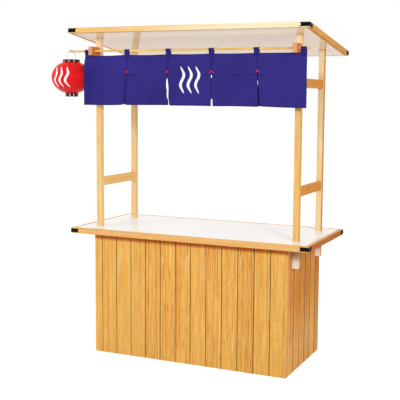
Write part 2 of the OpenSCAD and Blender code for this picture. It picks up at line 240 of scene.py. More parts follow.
def wood(name, tones, along, boards=None, board_look=None, bare_below=None, pale=None, end_grain=None,
         sides=None, streaks=0.35):
    """Wood with its grain along axis number `along`. The tones are those of streaks, body and pale bands.

    boards: (axis number, place of a groove, pitch, first, last), with grooves between first and last.
    board_look: (half width and colour of a groove's shade, how much the boards differ in tone, height of the
    top under which the counter's shadow is painted on them). A difference below 0 turns the boards' draw
    round.
    bare_below: (height, colour) of an end without finish, with the counter's shadow painted on it where it
    starts.
    pale: (axis number, start, end, colour) of painted light: the wood turns to that paler colour from start
    to end.
    end_grain: colour of the faces across the grain.
    sides: colour that multiplies the tone of the faces towards the left and right.
    streaks: how strong the dark streaks are.
    """
    dark, body, light = tones
    made = Finish(name, specular=WOOD_GLOSS)
    place = made.place
    if boards:
        axis, start, pitch = boards[:3]
        steps = made.steps(made.axes[axis], start, pitch)
        board = made.maths("FLOOR", steps)
        own = made.chance(board)
        streaks = made.times(made.span(made.chance(board, LIVELY_DRAW), 0.45, 1.45), streaks)
        place = made.vectors("ADD", place, made.scaled(BOARD_STEP, own))
    bands = made.grain(place, along, 80.0, 5.0, 2.0)
    fibres = made.grain(place, along, 544.0, 34.0, 4.0, 0.65)
    flecks = made.grain(made.vectors("ADD", place, FLECK_STEP), along, 300.0, 8.0, 2.0)
    lines = made.grain(place, along, 150.0, 0.9, 3.0, 0.6)
    pores = made.grain(place, along, 120.0, 45.0, 2.0)
    drift = made.noise(place, 2.3, 1.0)

    sheen = made.larger(made.fade(bands, 0.40, 0.70), made.fade(lines, 0.48, 0.36))
    colour = made.mix(sheen, body, light)
    if pale:
        # Painted light: the wood turns paler along an axis
        light_axis, begin, end, tone = pale
        uneven = made.add(made.axes[light_axis], made.span(bands, -0.15, 0.15))
        colour = made.mix(made.fade(uneven, begin, end), colour, tone)
    streaked = made.larger(made.fade(flecks, 0.57, 0.67), made.times(made.fade(lines, 0.54, 0.66), 0.75))
    colour = made.mix(made.times(streaked, streaks), colour, dark)
    if bare_below:
        colour = bare_end(made, colour, streaked, *bare_below)
    level = made.span(fibres, 0.80, 1.14)
    level = made.add(level, made.span(pores, -0.11, 0.11))
    level = made.add(level, made.span(drift, -0.08, 0.08))
    if boards:
        groove_half, groove_colour, variety, top = board_look
        level = made.add(level, made.span(own, -variety / 2, variety / 2))
        # Painted shadow of the counter's overhang, darker towards the boards' top
        board_shadow = made.fade(made.axes[2], *[top - drop for drop in BOARD_SHADOW_DROPS])
        colour = made.mix(board_shadow, colour, made.scaled(colour, BOARD_SHADOW_TINT))
    colour = made.scaled(colour, level)
    # Faces towards the left and right get their own tone; on the posts it is painted light and shade
    if sides:
        colour = made.mix(made.looks_along(0), colour, made.scaled(colour, sides))
    if end_grain:
        cut = made.scaled(end_grain, made.span(made.noise(place, 170.0, 2.0), 0.84, 1.16))
        colour = made.mix(made.looks_along(along), colour, cut)
    if boards:
        colour = made.mix(grooves(made, steps, boards, groove_half), colour, groove_colour)
    made.set("Roughness", made.span(fibres, WOOD_ROUGHNESS - 0.08, WOOD_ROUGHNESS + 0.08))
    return made.done(colour, made.add(fibres, bands), 0.25 * MM, 0.6)


# Laminate, paint and bamboo

LAMINATE_WHITE = (0.93, 0.94, 0.935)
LAMINATE_BOUNCE_LIGHT = (0.96, 0.74, 0.53)
BOUNCE_REFLECTION_TINT = (1.0, 0.82, 0.64)
PAINT_BLACK = (0.003, 0.003, 0.003)
PAINT_WORN = (0.016, 0.016, 0.018)
BAMBOO_TONES = ((0.70, 0.44, 0.11), (0.84, 0.60, 0.19))
BAMBOO_BLOOM = (0.86, 0.72, 0.42)
BAMBOO_NODE = (0.24, 0.11, 0.03)
# Where the bloom's middle lies beyond a node, and distances between which bloom and dark line fade in
BLOOM_PLACE = 6 * MM
BLOOM_FADE = (7 * MM, 1 * MM)
NODE_FADE = (2.4 * MM, 0.8 * MM)


def laminate(name, roughness):
    """White pressed sheet with a faint ripple, its underside painted warmer, as bounce light and reflection
    off the wood.
    """
    made = Finish(name)
    # Faces looking down get painted warm bounce light and a warm tint in their gloss
    below = made.fade(made.facing(2), -0.5, -0.8)
    made.set("Specular Tint", made.mix(below, WHITE, BOUNCE_REFLECTION_TINT))
    made.set("Roughness", made.span(made.noise(made.place, 40.0), roughness - 0.02, roughness + 0.03))
    ripple = made.noise(made.place, 7.0, 2.0)
    colour = made.scaled(made.mix(below, LAMINATE_WHITE, LAMINATE_BOUNCE_LIGHT), made.span(ripple, 0.985, 1.015))
    return made.done(colour, ripple, 0.3 * MM, 0.2)


def black_paint(name):
    """Dull black paint, a little worn."""
    made = Finish(name, specular=0.08)
    grit = made.noise(made.place, 900.0)
    worn = made.fade(made.noise(made.place, 120.0, 4.0), 0.60, 0.78)
    made.set("Roughness", made.span(grit, 0.42, 0.62))
    return made.done(made.mix(made.times(worn, 0.35), PAINT_BLACK, PAINT_WORN), grit, 0.05 * MM, 0.5)


def bamboo(name, first_node, pitch):
    """Polished bamboo: lengthwise fibres, and a dark line with a pale bloom at each node."""
    made = Finish(name, 0.3, 0.2)
    fibres = made.grain(made.place, 0, 500.0, 6.0)
    drift = made.grain(made.place, 0, 30.0, 4.0, 2.0)
    colour = made.mix(made.fade(drift, 0.35, 0.65), *BAMBOO_TONES)
    colour = made.scaled(colour, made.span(fibres, 0.86, 1.14))
    steps = made.steps(made.axes[0], first_node, pitch)
    off = made.times(made.less(steps, made.maths("ROUND", steps)), pitch)
    bloom = made.fade(made.distance(off, BLOOM_PLACE), *BLOOM_FADE)
    line = made.fade(made.distance(off, 0.0), *NODE_FADE)
    colour = made.mix(made.times(bloom, 0.45), colour, BAMBOO_BLOOM)
    colour = made.mix(made.times(line, 0.75), colour, BAMBOO_NODE)
    return made.done(colour, fibres, 0.1 * MM, 0.6)


# Cloth and paper, with a plain ornament

INDIGO_TONES = ((0.031, 0.025, 0.185), (0.038, 0.029, 0.220))
WARP_PITCH = 1.3 * MM
WEFT_PITCH = 1.5 * MM
# Shade of hems and crease, shade of closed seams, and how much darker the cloth is at its hem
LINE_SHADE = 0.34
SEAM_SHADE = 0.30
HEM_SHADE = 0.1
# Distances between which these lines fade in: from the top edge, the hem, the crease and a seam
TOP_FADE = (6 * MM, 3 * MM)
HEM_FADE = (7 * MM, 4 * MM)
CREASE_FADE = (4 * MM, 1.5 * MM)
SEAM_FADE = (6 * MM, 2.5 * MM)
SLIT_FADE = 2 * MM
CLOTH_MARK = (0.97, 0.97, 0.97)
RED_TONES = ((0.69, 0.006, 0.010), (0.80, 0.010, 0.016))
PAPER_MARK = (0.92, 0.90, 0.88)
FRONT_FADE = 5 * MM


def steam_marks(made, middle_x, middle_z, size):
    """Mask of three upright wavy strokes. Lengths in it are shares of `size`, half its height."""
    pitch, half_width = 0.62, 0.12
    sway_rate, sway_width = 4.2, 0.14
    blur, tip = 0.015, 0.06
    across = made.steps(made.axes[0], middle_x, size)
    up = made.steps(made.axes[2], middle_z, size)
    sway = made.times(made.maths("SINE", made.times(up, sway_rate)), sway_width)
    lean = made.less(across, sway)
    nearest = made.maths("ROUND", made.times(lean, 1 / pitch))
    nearest = made.larger(made.maths("MINIMUM", nearest, 1.0), -1.0)
    off = made.distance(lean, made.times(nearest, pitch))
    room = made.less(1.0, made.times(up, up))
    half = made.times(made.maths("SQRT", made.larger(room, 0.0)), half_width)
    stroke = made.fade(made.less(half, off), -blur, blur)
    return made.times(stroke, made.fade(room, 0.0, tip))


def seam_shade_level(made, seams, seam_end):
    """Brightness of a cloth that stores its flat places, with painted shade on its hems, crease and seams.

    A seam is its place across and how dark it is below seam_end, where it opens to a slit.
    """
    flat = made.node("ShaderNodeAttribute", {"attribute_name": "flat"}).outputs["Vector"]
    across, _, drop = made.split(flat)
    # Painted shade along the top edge, the hem and the crease
    hems = made.larger(made.fade(drop, *TOP_FADE), made.fade(made.less(CLOTH_DROP, drop), *HEM_FADE))
    crease = made.fade(made.distance(drop, CREASE_DROP), *CREASE_FADE)
    crease = made.times(crease, made.fade(made.noise(made.place, 6.0, 1.0), 0.42, 0.6))
    lines = made.times(made.larger(hems, crease), LINE_SHADE)
    below = made.fade(drop, seam_end - SLIT_FADE, seam_end + SLIT_FADE)
    # Painted shade along each seam, deeper below where it opens to a slit
    for seam, depth in seams:
        line = made.fade(made.distance(across, seam), *SEAM_FADE)
        lines = made.larger(lines, made.times(line, made.span(below, SEAM_SHADE, depth)))
    fall = made.span(made.times(drop, 1 / CLOTH_DROP), 1.0, 1.0 - HEM_SHADE)
    return made.times(made.span(lines, 1.0, 0.0), fall)


def indigo_cloth(name, shade=1.0, sewn=None, mark=None):
    """Plain woven cotton, its brightness multiplied by `shade`.

    sewn: (seams, drop where they open to slits) for painted shade on a cloth that stores its flat places.
    mark: (middle x, middle z, size) of the pale ornament.
    """
    made = Finish(name, 0.9, 0.05)
    slubs = made.grain(made.place, 2, 30.0, 420.0)
    warp = made.maths("SINE", made.times(made.axes[0], 2 * math.pi / WARP_PITCH))
    weft = made.maths("SINE", made.times(made.axes[2], 2 * math.pi / WEFT_PITCH))
    weave = made.times(made.times(warp, weft), 0.5)
    colour = made.mix(made.fade(made.noise(made.place, 5.0), 0.3, 0.7), *INDIGO_TONES)
    level = made.span(slubs, 0.86 * shade, 1.14 * shade)
    level = made.times(level, made.span(made.noise(made.place, 120.0, 2.0), 0.85, 1.15))
    if sewn:
        level = made.times(level, seam_shade_level(made, *sewn))
    colour = made.scaled(colour, level)
    if mark:
        paint = made.scaled(CLOTH_MARK, made.span(slubs, 0.80, 0.96))
        colour = made.mix(steam_marks(made, *mark), colour, paint)
    return made.done(colour, made.add(weave, slubs), 0.18 * MM, 0.5)


def red_paper(name, mark):
    """Coated red paper over hoops, with a pale ornament on the customer's side."""
    made = Finish(name, 0.34, 0.12)
    drift = made.noise(made.place, 26.0)
    fibres = made.grain(made.place, 2, 90.0, 40.0, 4.0)
    colour = made.mix(made.fade(drift, 0.3, 0.7), *RED_TONES)
    front = made.fade(made.axes[1], lantern_middle.y + FRONT_FADE, lantern_middle.y - FRONT_FADE)
    colour = made.mix(made.times(steam_marks(made, *mark), front), colour, PAPER_MARK)
    colour = made.scaled(colour, made.span(fibres, 0.92, 1.08))
    return made.done(colour, made.add(drift, fibres), 0.4 * MM, 0.5)


# Lacquer, metal and thread

LACQUER_BLACK = (0.006, 0.006, 0.007)
TICK_WHITE = (0.84, 0.83, 0.80)
TICK_GOLD = (0.48, 0.28, 0.04)
TICKS = 10
# Place of one tick as a share of a turn from the right, and softness of the ticks' edges
FIRST_TICK = -74.4 / 360
TICK_SIDE_BLUR = 0.03
TICK_END_BLUR = 0.5 * MM


def lacquer_ring(name, low_z, high_z, half_tick, painted):
    """Black lacquer with ticks painted around it, in pairs of white and of gold.

    half_tick is half a tick's width as a share of their pitch, painted the span of heights that it takes.
    """
    made = Finish(name, specular=0.3)
    from_x = made.less(made.axes[0], lantern_middle.x)
    from_y = made.less(made.axes[1], lantern_middle.y)
    turn = made.times(made.maths("ARCTAN2", from_y, from_x), 1 / (2 * math.pi))
    steps = made.times(made.less(turn, FIRST_TICK), TICKS)
    nearest = made.maths("ROUND", steps)
    wide = made.fade(made.distance(steps, nearest), half_tick + TICK_SIDE_BLUR, half_tick)
    start, end = [low_z + share * (high_z - low_z) for share in painted]
    off = made.distance(made.axes[2], (start + end) / 2)
    tall = made.fade(off, (end - start) / 2 + TICK_END_BLUR, (end - start) / 2 - TICK_END_BLUR)
    pair = made.maths("FLOOR", made.times(nearest, 0.5))
    paint = made.mix(made.maths("FLOORED_MODULO", pair, 2.0), TICK_WHITE, TICK_GOLD)
    brush = made.noise(made.place, 300.0)
    made.set("Roughness", made.span(brush, 0.20, 0.34))
    return made.done(made.mix(made.times(wide, tall), LACQUER_BLACK, paint), brush, 0.1 * MM, 0.4)


def metal(name, colour, roughness):
    """Bare metal with fine scratches."""
    made = Finish(name)
    scratch = made.grain(made.place, 2, 1500.0, 300.0)
    made.set("Metallic", 1.0)
    made.set("Roughness", made.span(scratch, roughness - 0.08, roughness + 0.08))
    return made.done(made.scaled(colour, made.span(scratch, 0.85, 1.15)), scratch, 0.05 * MM, 0.5)


def thread(name, colour):
    made = Finish(name, 0.8, 0.1)
    twist = made.noise(made.place, 1400.0, 2.0)
    return made.done(made.scaled(colour, made.span(twist, 0.8, 1.2)), twist, 0.2 * MM, 0.6)


# Finishes of the solids. Wood tones are those of streaks, body and pale bands.

BOARD_PITCH = 108 * MM
BOARD_TONES = ((0.60, 0.192, 0.028), (0.797, 0.401, 0.079), (0.847, 0.515, 0.146))
SIDE_BOARD_TONES = ((0.36, 0.080, 0.010), (0.670, 0.225, 0.013), (0.770, 0.356, 0.046))
STILE_TONES = ((0.56, 0.22, 0.08), (0.73, 0.32, 0.13), (0.77, 0.375, 0.165))
POST_TONES = {
    "front_left": ((0.62, 0.29, 0.080), (0.80, 0.50, 0.175), (0.86, 0.62, 0.28)),
    "front_right": ((0.58, 0.26, 0.060), (0.78, 0.45, 0.140), (0.84, 0.54, 0.20)),
    "back_left": ((0.64, 0.33, 0.09), (0.82, 0.54, 0.22), (0.86, 0.63, 0.31)),
    "back_right": ((0.66, 0.38, 0.13), (0.86, 0.62, 0.29), (0.90, 0.70, 0.38)),
}
RAIL_TONES = {
    "left": ((0.64, 0.28, 0.065), (0.93, 0.53, 0.18), (0.95, 0.59, 0.22)),
    "right": ((0.46, 0.13, 0.020), (0.74, 0.28, 0.038), (0.80, 0.33, 0.056)),
}
COUNTER_EDGE_TONES = ((0.54, 0.23, 0.060), (0.79, 0.425, 0.135), (0.84, 0.50, 0.18))
ROOF_EDGE_TONES = ((0.64, 0.33, 0.09), (0.81, 0.47, 0.145), (0.85, 0.53, 0.18))
ROOF_END_TONES = ((0.48, 0.18, 0.032), (0.77, 0.35, 0.060), (0.82, 0.40, 0.08))
HOLDER_TONES = ((0.44, 0.10, 0.026), (0.71, 0.195, 0.046), (0.77, 0.25, 0.066))
BARE_WOOD = (0.95, 0.96, 0.90)
BOARD_FOOT_LIGHT = (0.835, 0.430, 0.105)
POST_TOP_LIGHT = (0.93, 0.76, 0.46)
EDGE_HIGHLIGHT = (0.90, 0.76, 0.50)
POST_CUT = (0.78, 0.56, 0.33)
HOLDER_CUT = (0.66, 0.33, 0.16)
# Colours that multiply the tone of faces towards the left and right: painted light and shade on the posts'
# side faces, a darker tone on the counter's end faces
COUNTER_SIDES = (0.65, 0.32, 0.13)
POST_SIDE_SHADING = {
    "front_left": (1.10, 1.10, 1.20),
    "front_right": (1.0, 0.86, 0.60),
    "back_left": (1.10, 1.10, 1.20),
    "back_right": (0.86, 0.45, 0.17),
}
FRONT_GROOVE = (0.085, 0.058, 0.032)
SIDE_GROOVE = (0.115, 0.040, 0.018)
WIRE_GREY = (0.86, 0.85, 0.83)
LAMINATE_ROUGHNESS = {"counter": 0.30, "roof": 0.06}

front_boards = (0, front_high.x, BOARD_PITCH, front_low.x, front_high.x)
side_boards = (1, box_middle("right_side_panel").y, BOARD_PITCH, side_low.y, side_high.y)
front_look = (2.4 * MM, FRONT_GROOVE, 0.05, front_high.z)
side_look = (4.2 * MM, SIDE_GROOVE, -0.26, side_high.z)
bare_tail = (counter_under, BARE_WOOD)
# Painted light: posts paler towards their tops
painted_top_light = (2, 1.65, post_top - 0.05, POST_TOP_LIGHT)
# Painted highlight: the roof's front edging paler towards the right
painted_front_highlight = (0, -0.75, 0.45, EDGE_HIGHLIGHT)
# Painted light: side boards paler towards the floor
painted_foot_light = (2, 0.50, 0.13, BOARD_FOOT_LIGHT)

boards_front = wood("boards_front", BOARD_TONES, 2, front_boards, front_look, streaks=0.8)
boards_side = wood("boards_side", SIDE_BOARD_TONES, 2, side_boards, side_look, pale=painted_foot_light, streaks=1.0)
stile_wood = wood("stile_wood", STILE_TONES, 2, end_grain=POST_CUT)
stile_wood_cross = wood("stile_wood_cross", STILE_TONES, 0, end_grain=POST_CUT)
holder_wood = wood("holder_wood", HOLDER_TONES, 1, end_grain=HOLDER_CUT)
edge_woods = {
    "counter": (wood("counter_edge_wood", COUNTER_EDGE_TONES, 0),
                wood("counter_end_wood", COUNTER_EDGE_TONES, 1, sides=COUNTER_SIDES)),
    "roof": (wood("roof_edge_wood", ROOF_EDGE_TONES, 0, pale=painted_front_highlight),
             wood("roof_end_wood", ROOF_END_TONES, 1)),
}
bracket_paint = black_paint("bracket_paint")
bright_wire = metal("bright_wire", WIRE_GREY, 0.45)

# Radii of eased edges, and the least angle of an edge that is eased
BOARD_EASE = 0.6 * MM
STILE_EASE = 1.0 * MM
POST_EASE = 1.8 * MM
HOLDER_EASE = 3.0 * MM
EDGING_EASE = 1.2 * MM
BRACKET_EASE = 0.4 * MM
RING_EASE = 0.8 * MM
EASE_ANGLE = math.radians(35)
WELD_REACH = 0.01 * MM
# Ticks on the lantern's rings: half width and heights, as lacquer_ring has them
RING_TICKS = {"top": (0.075, (0.12, 0.60)), "bottom": (0.09, (0.17, 0.80))}


def dress(names, material, edge=0.0):
    """Gives solids a finish, with their sharp edges eased by that radius."""
    for name in names:
        node = nodes[name]
        node.data.materials.clear()
        node.data.materials.append(material)
        if edge:
            weld = node.modifiers.new("weld", "WELD")
            weld.merge_threshold = WELD_REACH
            ease = node.modifiers.new("ease", "BEVEL")
            ease.width = edge
            ease.segments = 2
            ease.limit_method = "ANGLE"
            ease.angle_limit = EASE_ANGLE


dress(["front_panel"], boards_front, BOARD_EASE)
dress([f"{side}_side_panel" for side in SIDES], boards_side, BOARD_EASE)
dress([f"{end}_{side}_stile" for end in ("front", "rear") for side in SIDES], stile_wood, STILE_EASE)
dress(["rear_top_rail", "rear_bottom_rail"], stile_wood_cross, STILE_EASE)
for corner, tones in POST_TONES.items():
    post_wood = wood(f"{corner}_post_wood", tones, 2, bare_below=bare_tail, pale=painted_top_light,
                     end_grain=POST_CUT, sides=POST_SIDE_SHADING[corner])
    dress([f"{corner}_post"], post_wood, POST_EASE)
for side, tones in RAIL_TONES.items():
    rail_wood = wood(f"{side}_rail_wood", tones, 1, end_grain=POST_CUT)
    dress([f"{level}_{side}_rail" for level in ("lower", "upper")], rail_wood, POST_EASE)
dress([f"{side}_pole_holder" for side in SIDES], holder_wood, HOLDER_EASE)
for top, (edge_wood, end_wood) in edge_woods.items():
    dress([f"{top}_panel"], laminate(f"{top}_laminate", LAMINATE_ROUGHNESS[top]))
    dress([f"{top}_front_edging", f"{top}_back_edging"], edge_wood, EDGING_EASE)
    dress([f"{top}_left_edging", f"{top}_right_edging"], end_wood, EDGING_EASE)
    dress([f"{top}_bracket_{corner}" for corner in CORNERS], bracket_paint, BRACKET_EASE)
for end, ticks in RING_TICKS.items():
    ring = f"lantern_{end}_ring"
    low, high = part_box(ring)
    dress([ring], lacquer_ring(f"lacquer_{end}", low.z, high.z, *ticks), RING_EASE)
dress(["lantern_handle"], bright_wire)


# Small helpers for new pieces

class Shape:
    """Points and faces gathered for one mesh."""

    def __init__(self):
        self.points = []
        self.faces = []

    def take(self, points, faces, place=None):
        first = len(self.points)
        for point in points:
            self.points.append(tuple(place @ Vector(point)) if place else tuple(point))
        self.faces += [tuple(first + i for i in face) for face in faces]

    def piece(self, name, material, slot, stands_for=()):
        mesh = bpy.data.meshes.new(name)
        mesh.from_pydata(self.points, [], self.faces)
        mesh.polygons.foreach_set("use_smooth", [True] * len(mesh.polygons))
        mesh.materials.append(material)
        made = bpy.data.objects.new(name, mesh)
        bpy.context.scene.collection.objects.link(made)
        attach(made, "root")
        if stands_for:
            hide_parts(*stands_for)
        return made


def circle(radius, count):
    """Points (x, y) around a circle."""
    angles = [2 * math.pi * step / count for step in range(count)]
    return [(radius * math.cos(angle), radius * math.sin(angle)) for angle in angles]


def ring_faces(rings):
    """Faces between rings of point numbers. A ring that repeats one number is a tip."""
    faces = []
    for one, other in zip(rings, rings[1:]):
        for step in range(len(one)):
            face = (one[step - 1], other[step - 1], other[step], one[step])
            faces.append(tuple(dict.fromkeys(face)))
    return faces


def grid_faces(index):
    """Faces between the point numbers of a grid."""
    corners = np.stack([index[:-1, :-1], index[1:, :-1], index[1:, 1:], index[:-1, 1:]], axis=-1)
    return [tuple(face) for face in corners.reshape(-1, 4).tolist()]


def turned(profile, count):
    """A profile of (radius, height) turned about Z. An end of radius 0 closes to a point."""
    points, rings = [], []
    for radius, height in profile:
        if radius == 0:
            rings.append([len(points)] * count)
            points.append((0, 0, height))
            continue
        rings.append(range(len(points), len(points) + count))
        points += [(x, y, height) for x, y in circle(radius, count)]
    return points, ring_faces(rings[::-1])


def tube(path, radius, count):
    """A round thread along a list of points, closed at both ends. No thread runs straight back."""
    points, rings = [], []
    straight_back = Vector((0, 1, 0.01))
    for i, point in enumerate(path):
        ahead = (path[min(i + 1, len(path) - 1)] - path[max(i - 1, 0)]).normalized()
        side = ahead.cross(straight_back).normalized()
        other = ahead.cross(side)
        rings.append(range(len(points), len(points) + count))
        points += [point + a * side + b * other for a, b in circle(radius, count)]
    return points, ring_faces(rings) + [tuple(rings[0]), tuple(reversed(rings[-1]))]


def thicken(piece, thickness):
    made = piece.modifiers.new("thicken", "SOLIDIFY")
    made.thickness = thickness
    made.offset = 0.0


# Curtain: five panels of cloth joined above their slits, with loops over the pole

PANELS = 5
COLUMNS = 60
UPPER_ROWS = 24
LOWER_ROWS = 52
SLIT_START = 104 * MM
CLOTH_THICK = 1.2 * MM
LOOP_WIDTH = 38 * MM
FOLD_WIDTH = 75 * MM
BEND_WIDTH = 30 * MM
EDGE_GAP = 3.5 * MM
CURL_REACH = 26 * MM
CREASE_HALF = 6 * MM
CREASE_RISE = 0.9 * MM
# Share of the drop from which the hem's lifts set in
LIFT_START = 0.7
MARK_SIZE = 84 * MM
cloth_top = cloth_low.z + CLOTH_DROP
cloth_width = cloth_high.x - cloth_low.x
loop_pitch = (cloth_width - LOOP_WIDTH) / PANELS
loop_places = [cloth_low.x + LOOP_WIDTH / 2 + loop_pitch * i for i in range(PANELS + 1)]
slit_places = loop_places[1:-1]
fold_x = cloth_low.x + FOLD_WIDTH

# Each slit from left to right, as (share down, place of its middle to the right of the loop, width) in mm.
# A width below 0 is an overlap.
SLITS = [
    ((0, -3, 0), (0.14, -4, -3), (0.24, -9, -3), (0.34, -13, -4), (0.57, -17, -5), (0.82, -18, -5),
     (0.92, -17, -4), (1, -15, 2)),
    ((0, -10, 0), (0.21, -9, 0), (0.26, -9, 8), (0.34, -9, 11), (0.46, -7, 13), (0.51, -5, 12),
     (0.57, -4, 7), (0.67, -5, 8), (0.76, -4, 6), (0.82, -1, 2), (0.86, 3, 0), (0.92, 4, 0), (1, 4, 5)),
    ((0, 0, 0), (0.10, 0, 0), (0.17, 0, 9), (0.23, 0, 0), (0.31, 1, -3), (0.74, 2, -2), (0.77, 2, 0),
     (0.81, 2, 12), (0.87, 2, 14), (1, 3, 15)),
    ((0, 6, 0), (0.22, 7, -3), (0.28, 8, 1), (0.33, 8, 3), (0.38, 9, 0), (0.5, 10, -4), (1, 14, -4)),
]
# How dark the painted shade along each slit's edges is
SLIT_SHADES = [0.92, 0.3, 0.35, 0.8]
# How far each panel's top edge sags between its loops, in mm
TOP_SAGS = [6, 5, 3, 2, 1]
# Waves of each panel: how many across, where they start, and how deep they are at the hem in mm
PANEL_WAVES = [(1.1, 0.15, 1.2), (1.6, 0.55, 2.2), (1.3, 0.05, 2.0), (1.7, 0.70, 2.2), (1.4, 0.35, 1.8)]
# How far the left and right free edges of each panel curl forward in mm
PANEL_CURLS = [(0, -9), (2, 4), (-3, -5), (4, 4), (-5, -3)]
# How far each panel's hem is lifted at its left, middle and right, in mm
HEM_LIFTS = [(-1, 0, 0), (1.4, 4, 4.2), (0, 3, 1.3), (0, 3.2, -0.6), (3.5, -0.5, -2.7)]
# How far the hem's left and right corners are turned up beyond that, in mm
CORNER_LIFTS = [(0, 9), (0, 0), (3, 0), (1, 2), (2, 0)]


def soft_step(value):
    value = np.clip(value, 0.0, 1.0)
    return value * value * (3.0 - 2.0 * value)


def fold_angle():
    """Whole turn of the strip at the left edge that brings this edge to the lantern."""
    hinge = fold_x - BEND_WIDTH / 2
    arm = FOLD_WIDTH - BEND_WIDTH / 2
    reach = hinge - lantern_middle.x
    gap = LANTERN_RADIUS + EDGE_GAP
    return math.acos((reach ** 2 + arm ** 2 - gap ** 2) / (2 * reach * arm))


def folded(x, drop):
    """Turns what lies left of the fold forward. Returns the new x and the step forward."""
    least_turn = 1e-4
    share = soft_step(drop / (cloth_top - lantern_oval_z))
    turn = np.maximum(least_turn, fold_angle() * share)
    run = np.maximum(0.0, fold_x - x)
    heading = turn * np.minimum(1.0, run / BEND_WIDTH)
    straight = np.maximum(0.0, run - BEND_WIDTH)
    radius = BEND_WIDTH / turn
    bent = fold_x - radius * np.sin(heading) - straight * np.cos(heading)
    forward = radius * (1 - np.cos(heading)) + straight * np.sin(heading)
    return np.where(run > 0, bent, x), forward


def slit_edge(slit, side, drop):
    """x of the cloth's edge on one side (-1 left, 1 right) of a slit, or of an outer edge."""
    if slit < 0:
        return cloth_low.x + 0.0 * drop
    if slit >= len(SLITS):
        return cloth_high.x + 0.0 * drop
    shares, middles, widths = zip(*SLITS[slit])
    share = np.clip((drop - SLIT_START) / (CLOTH_DROP - SLIT_START), 0.0, 1.0)
    width = np.interp(share, shares, widths)
    off_loop = np.interp(share, shares, middles) - middles[0] * (1 - soft_step(drop / SLIT_START))
    return slit_places[slit] + (off_loop + side * width / 2) * MM


def panel_waves(panel, across, down):
    """How far a panel swings forward: a broad wave with a finer one on it, both slightly askew."""
    count, start, depth = PANEL_WAVES[panel]
    broad = np.sin(2 * math.pi * (count * across + start + 0.12 * down))
    fine = np.sin(2 * math.pi * (2.3 * count * across + 3.1 * start - 0.2 * down))
    return depth * MM * (broad + 0.35 * fine)


def curve(left, middle, right, across):
    """A parabola through values at the left, middle and right of a panel."""
    ends = left * (1 - across) * (1 - 2 * across) + right * across * (2 * across - 1)
    return ends + middle * 4 * across * (1 - across)


def cloth_point(panel, across, drop):
    """Places on the cloth's middle surface: panel number, share across it, drop below the top."""
    left = slit_edge(panel - 1, 1, drop)
    right = slit_edge(panel, -1, drop)
    x, turned_out = folded(left + (right - left) * across, drop)
    down = drop / CLOTH_DROP
    free = soft_step((drop - SLIT_START) / (0.45 * CLOTH_DROP))
    edge = CURL_REACH / loop_pitch
    at_left = np.exp(-across / edge)
    at_right = np.exp(-(1 - across) / edge)

    curl_left, curl_right = PANEL_CURLS[panel]
    forward = panel_waves(panel, across, down) * (0.15 * down + 0.85 * free)
    forward = forward + (curl_left * at_left + curl_right * at_right) * free * MM
    forward = forward + CREASE_RISE * np.exp(-((drop - CREASE_DROP) / CREASE_HALF) ** 2)

    corner_left, corner_right = CORNER_LIFTS[panel]
    lift = curve(*HEM_LIFTS[panel], across) + corner_left * at_left + corner_right * at_right
    lift = lift * soft_step((down - LIFT_START) / (1 - LIFT_START))
    sag = curve(0, TOP_SAGS[panel], 0, across) * (1 - 0.7 * down)
    return x, pole_middle.y - forward - turned_out, cloth_top - drop - (sag - lift) * MM


def build_cloth():
    """The curtain's points, faces and flat places. Panels share their edge points above the slits."""
    upper = np.linspace(0.0, SLIT_START, UPPER_ROWS + 1)
    lower = np.linspace(SLIT_START, CLOTH_DROP, LOWER_ROWS + 1)
    drops = np.concatenate([upper[:-1], lower])
    shape = Shape()
    flat = []
    known = {}
    for panel in range(PANELS):
        across, drop = np.meshgrid(np.linspace(0.0, 1.0, COLUMNS + 1), drops)
        x, y, z = cloth_point(panel, across, drop)
        first = slit_edge(panel - 1, 1, 0.0)
        width = slit_edge(panel, -1, 0.0) - first
        index = np.zeros(x.shape, int)
        for r, c in np.ndindex(x.shape):
            joined = c in (0, COLUMNS) and drops[r] <= SLIT_START
            key = (panel + (c == COLUMNS), r)
            if joined and key in known:
                index[r, c] = known[key]
                continue
            index[r, c] = known[key] = len(shape.points)
            shape.points.append((x[r, c], y[r, c], z[r, c]))
            flat.append((first + width * across[r, c], 0.0, drop[r, c]))
        shape.faces += grid_faces(index)
    return shape, flat


def on_cloth(panel, across, drop, lift):
    """A place on the cloth's customer side, lifted off its face."""
    x, y, z = cloth_point(panel, np.float64(across), np.float64(drop))
    return Vector((float(x), float(y) - CLOTH_THICK / 2 - lift, float(z)))


def at_flat(x, drop, lift):
    """A place on the cloth's customer side at a place x along its flat top edge."""
    panel = int(np.searchsorted(slit_places, x))
    left = slit_edge(panel - 1, 1, 0.0)
    right = slit_edge(panel, -1, 0.0)
    return on_cloth(panel, (x - left) / (right - left), drop, lift)


mark_x = (slit_edge(1, 1, 0.0) + slit_edge(2, -1, 0.0)) / 2
mark_z = cloth_low.z + CLOTH_DROP / 2
seams = list(zip(slit_places, SLIT_SHADES))
cloth_finish = indigo_cloth("indigo_cloth", sewn=(seams, SLIT_START), mark=(mark_x, mark_z, MARK_SIZE))
cloth_shape, cloth_flat = build_cloth()
cloth = cloth_shape.piece("curtain_cloth", cloth_finish, "indigo_cloth", stands_for=("curtain",))
flat_places = cloth.data.attributes.new("flat", "FLOAT_VECTOR", "POINT")
flat_places.data.foreach_set("vector", np.array(cloth_flat).ravel())
thicken(cloth, CLOTH_THICK)

# Loops: a strap's columns and steps over the pole, its thickness, and how far its middle lies off the pole
LOOP_COLUMNS = 8
LOOP_STEPS = 12
STRAP_THICK = 1.0 * MM
STRAP_LIFT = 1.2 * MM
STRAP_SHARE = 0.96
STRAP_SWAY = 0.4 * MM
LOOP_SHADE = 0.78
# Drops where a strap lies on the cloth, and where it leaves the cloth above its top edge
LAP_DROPS = (20 * MM, 10 * MM, 3 * MM)
LEAVE_RISE = 4 * MM
LEAVE_OUT = 0.6 * MM
CLOTH_MARGIN = 1 * MM


